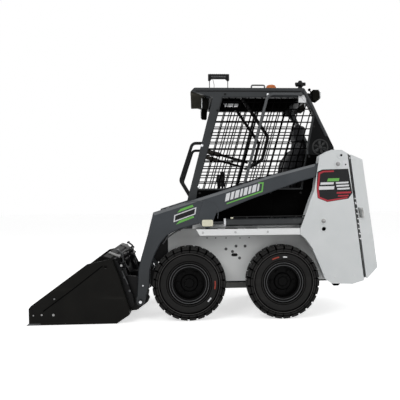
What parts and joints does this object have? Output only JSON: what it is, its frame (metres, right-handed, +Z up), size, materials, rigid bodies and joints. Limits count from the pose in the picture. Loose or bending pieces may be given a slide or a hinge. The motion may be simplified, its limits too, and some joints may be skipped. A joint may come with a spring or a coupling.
{
  "type": "compact skid steer loader",
  "caption": "Compact four-wheeled skid steer loader with battery drive, open mesh cab, lift arms, bucket, linked cylinders and a swinging rear door.",
  "frame": {"origin": "on the floor, at the middle of the overall length and width", "axes": "+X forward to the bucket, +Y to the operator's left, +Z up"},
  "size_m": [2.787, 1.06, 2.075],
  "materials": {
    "grey_paint": "satin",
    "pale_paint": "satin",
    "black_paint": "satin",
    "black_steel": "matt",
    "worn_steel": "worn",
    "chrome": "polished",
    "zinc": "yellow zinc",
    "tyre": "matt",
    "seat_vinyl": "matt",
    "black_plastic": "matt",
    "lens": "clear",
    "amber": "clear",
    "red_lens": "clear",
    "battery_case": "matt"
  },
  "bodies": {
    "root": {"chassis": "pale_paint", "belly_guard": "black_steel", "front_step": "black_steel", "axle_housings": "black_steel", "fenders": "pale_paint", "tower_left": "pale_paint", "tower_right": "pale_paint", "rear_frame": "black_steel", "rear_hood": "pale_paint", "battery_pack": "battery_case", "cab_side_left": "grey_paint", "cab_side_right": "grey_paint", "side_mesh_left": "black_paint", "side_mesh_right": "black_paint", "cab_roof": "grey_paint", "cab_rear": "grey_paint", "guard_tubes": "grey_paint", "grab_handles": "grey_paint", "seat_base": "black_plastic", "seat_cushion": "seat_vinyl", "seat_backrest": "seat_vinyl", "headrest": "seat_vinyl", "control_levers": "black_plastic", "pedals": "black_steel", "work_lamps": "black_plastic", "beacon": "amber", "light_bar": "black_plastic", "horn": "black_plastic", "side_rails": "black_paint"},
    "lift_arms": {"arm_left": "grey_paint", "arm_right": "grey_paint", "arm_cross_tube": "grey_paint", "arm_gussets": "grey_paint", "pin_keepers": "zinc"},
    "lift_barrel_left": {"lift_barrel_left": "black_paint"},
    "lift_barrel_right": {"lift_barrel_right": "black_paint"},
    "lift_rod_left": {"lift_rod_left": "chrome"},
    "lift_rod_right": {"lift_rod_right": "chrome"},
    "tilt_barrel": {"tilt_barrel": "black_paint"},
    "tilt_rod": {"tilt_rod": "chrome"},
    "coupler": {"coupler": "black_paint", "coupler_guides": "black_paint", "coupler_latches": "worn_steel", "bucket": "black_paint", "cutting_edge": "worn_steel"},
    "rear_door": {"rear_door": "pale_paint", "tail_lamps": "red_lens", "door_latch": "worn_steel"},
    "lap_bar": {"lap_bar": "black_paint"},
    "wheel_front_left": {"tyre_front_left": "tyre", "rim_front_left": "black_paint"},
    "wheel_front_right": {"tyre_front_right": "tyre", "rim_front_right": "black_paint"},
    "wheel_rear_left": {"tyre_rear_left": "tyre", "rim_rear_left": "black_paint"},
    "wheel_rear_right": {"tyre_rear_right": "tyre", "rim_rear_right": "black_paint"}
  },
  "joints": [
    {"name": "lift", "type": "hinge", "parent": "root", "child": "lift_arms", "pos_m": [-1.08, 0, 1.243], "axis": [0, -1, 0], "range_deg": [0, 70]},
    {"name": "lift_barrel_swing_left", "type": "hinge", "parent": "root", "child": "lift_barrel_left", "pos_m": [-0.957, 0.4625, 0.782], "axis": [0, -1, 0], "range_deg": [0, 62.8]},
    {"name": "lift_rod_slide_left", "type": "slide", "parent": "lift_barrel_left", "child": "lift_rod_left", "axis": [1, 0, -0.0053], "range_m": [0, 0.527]},
    {"name": "lift_barrel_swing_right", "type": "hinge", "parent": "root", "child": "lift_barrel_right", "pos_m": [-0.957, -0.4625, 0.782], "axis": [0, -1, 0], "range_deg": [0, 62.8]},
    {"name": "lift_rod_slide_right", "type": "slide", "parent": "lift_barrel_right", "child": "lift_rod_right", "axis": [1, 0, -0.0053], "range_m": [0, 0.527]},
    {"name": "tilt", "type": "hinge", "parent": "lift_arms", "child": "coupler", "pos_m": [0.517, 0, 0.158], "axis": [0, 1, 0], "range_deg": [-20, 95]},
    {"name": "tilt_barrel_swing", "type": "hinge", "parent": "lift_arms", "child": "tilt_barrel", "pos_m": [0.37, 0, 0.745], "axis": [0, -1, 0], "range_deg": [-1.3, 5.8]},
    {"name": "tilt_rod_slide", "type": "slide", "parent": "tilt_barrel", "child": "tilt_rod", "axis": [0.3732, 0, -0.9277], "range_m": [-0.0401, 0.1901]},
    {"name": "spin_front_left", "type": "hinge", "parent": "root", "child": "wheel_front_left", "pos_m": [0.131, 0, 0.295], "axis": [0, 1, 0], "continuous": true},
    {"name": "spin_front_right", "type": "hinge", "parent": "root", "child": "wheel_front_right", "pos_m": [0.131, 0, 0.295], "axis": [0, 1, 0], "continuous": true},
    {"name": "spin_rear_left", "type": "hinge", "parent": "root", "child": "wheel_rear_left", "pos_m": [-0.624, 0, 0.295], "axis": [0, 1, 0], "continuous": true},
    {"name": "spin_rear_right", "type": "hinge", "parent": "root", "child": "wheel_rear_right", "pos_m": [-0.624, 0, 0.295], "axis": [0, 1, 0], "continuous": true},
    {"name": "rear_door_swing", "type": "hinge", "parent": "root", "child": "rear_door", "pos_m": [-1.2725, -0.521, 0.50036], "axis": [0.1238, 0, 0.9923], "range_deg": [0, 100]},
    {"name": "lap_bar_swing", "type": "hinge", "parent": "root", "child": "lap_bar", "pos_m": [-0.312, 0, 1.819], "axis": [0, -1, 0], "range_deg": [0, 50]}
  ],
  "couplings": [
    {"joint": "lift_barrel_swing_left", "follows": "lift", "ratio": 0.89645},
    {"joint": "lift_rod_slide_left", "follows": "lift", "m_per_rad": 0.43122},
    {"joint": "lift_barrel_swing_right", "follows": "lift", "ratio": 0.89645},
    {"joint": "lift_rod_slide_right", "follows": "lift", "m_per_rad": 0.43122},
    {"joint": "tilt_barrel_swing", "follows": "tilt", "ratio": 0.06},
    {"joint": "tilt_rod_slide", "follows": "tilt", "m_per_rad": 0.11459}
  ]
}
